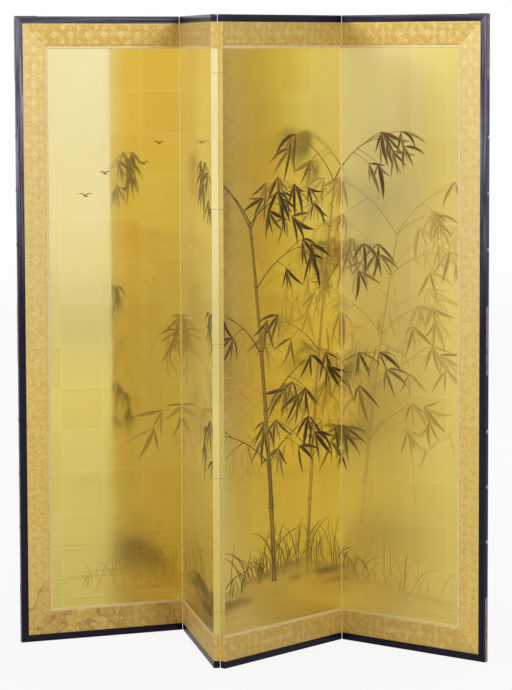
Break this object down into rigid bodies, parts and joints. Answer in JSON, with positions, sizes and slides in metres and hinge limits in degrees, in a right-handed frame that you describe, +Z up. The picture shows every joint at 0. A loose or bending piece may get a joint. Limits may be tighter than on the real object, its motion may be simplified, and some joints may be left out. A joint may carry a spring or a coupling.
{
  "type": "folding screen",
  "caption": "Free-standing byobu folding screen: gold-leafed paper panels with brocade borders and black lacquer mouldings, joined by paper hinges and standing in a zigzag.",
  "frame": {"origin": "middle of the standing screen's bounding box, on the floor", "axes": "+Z up; -Y is the painted front; X runs level with the line from the left outer side to the right outer side"},
  "size_m": [1.2778, 0.4428, 1.7021],
  "materials": {
    "core_cedar": "planed, unfinished cedar",
    "lining_paper": "laminated mulberry paper",
    "gold_leaf": "gold leaf squares on mulberry paper, with an ink picture",
    "brocade": "woven silk brocade, soft sheen",
    "inner_border_silk": "pale silk strip with a fine repeat",
    "back_paper": "block-printed paper, matt",
    "black_lacquer": "black lacquer on wood, glossy",
    "hidden_nails": "plain iron",
    "hinge_paper": "gold-leafed mulberry paper",
    "fittings": "dark patinated metal"
  },
  "bodies": {
    "panel_1": {"panel_1_core_stiles": "core_cedar", "panel_1_core_rails": "core_cedar", "panel_1_core_lattice": "core_cedar", "panel_1_paper_linings": "lining_paper", "panel_1_gold_ground": "gold_leaf", "panel_1_brocade_border": "brocade", "panel_1_inner_border": "inner_border_silk", "panel_1_back_paper": "back_paper", "panel_1_top_moulding": "black_lacquer", "panel_1_bottom_moulding": "black_lacquer", "panel_1_moulding_nails": "hidden_nails", "panel_1_right_hinge_papers": "hinge_paper", "panel_1_outer_moulding": "black_lacquer", "panel_1_corner_plates": "fittings", "panel_1_middle_plate": "fittings", "panel_1_side_studs": "fittings", "panel_1_plate_pins": "fittings"},
    "panel_2": {"panel_2_core_stiles": "core_cedar", "panel_2_core_rails": "core_cedar", "panel_2_core_lattice": "core_cedar", "panel_2_paper_linings": "lining_paper", "panel_2_gold_ground": "gold_leaf", "panel_2_brocade_border": "brocade", "panel_2_inner_border": "inner_border_silk", "panel_2_back_paper": "back_paper", "panel_2_top_moulding": "black_lacquer", "panel_2_bottom_moulding": "black_lacquer", "panel_2_moulding_nails": "hidden_nails", "panel_2_right_hinge_papers": "hinge_paper", "panel_2_left_hinge_papers": "hinge_paper"},
    "panel_3": {"panel_3_core_stiles": "core_cedar", "panel_3_core_rails": "core_cedar", "panel_3_core_lattice": "core_cedar", "panel_3_paper_linings": "lining_paper", "panel_3_gold_ground": "gold_leaf", "panel_3_brocade_border": "brocade", "panel_3_inner_border": "inner_border_silk", "panel_3_back_paper": "back_paper", "panel_3_top_moulding": "black_lacquer", "panel_3_bottom_moulding": "black_lacquer", "panel_3_moulding_nails": "hidden_nails", "panel_3_left_hinge_papers": "hinge_paper", "panel_3_right_hinge_papers": "hinge_paper"},
    "panel_4": {"panel_4_core_stiles": "core_cedar", "panel_4_core_rails": "core_cedar", "panel_4_core_lattice": "core_cedar", "panel_4_paper_linings": "lining_paper", "panel_4_gold_ground": "gold_leaf", "panel_4_brocade_border": "brocade", "panel_4_inner_border": "inner_border_silk", "panel_4_back_paper": "back_paper", "panel_4_top_moulding": "black_lacquer", "panel_4_bottom_moulding": "black_lacquer", "panel_4_moulding_nails": "hidden_nails", "panel_4_left_hinge_papers": "hinge_paper", "panel_4_outer_moulding": "black_lacquer", "panel_4_corner_plates": "fittings", "panel_4_middle_plate": "fittings", "panel_4_side_studs": "fittings", "panel_4_plate_pins": "fittings"}
  },
  "joints": [
    {"name": "fold_1", "type": "hinge", "parent": "panel_2", "child": "panel_1", "pos_m": [-0.23633, 0.20649, 0.85], "axis": [0, 0, 1], "range_deg": [-98, 82]},
    {"name": "fold_2", "type": "hinge", "parent": "panel_2", "child": "panel_3", "pos_m": [-0.03915, -0.21283, 0.85], "axis": [0, 0, 1], "range_deg": [-125.5, 54.5]},
    {"name": "fold_3", "type": "hinge", "parent": "panel_3", "child": "panel_4", "pos_m": [0.2189, 0.17203, 0.85], "axis": [0, 0, 1], "range_deg": [-95.5, 84.5]}
  ]
}
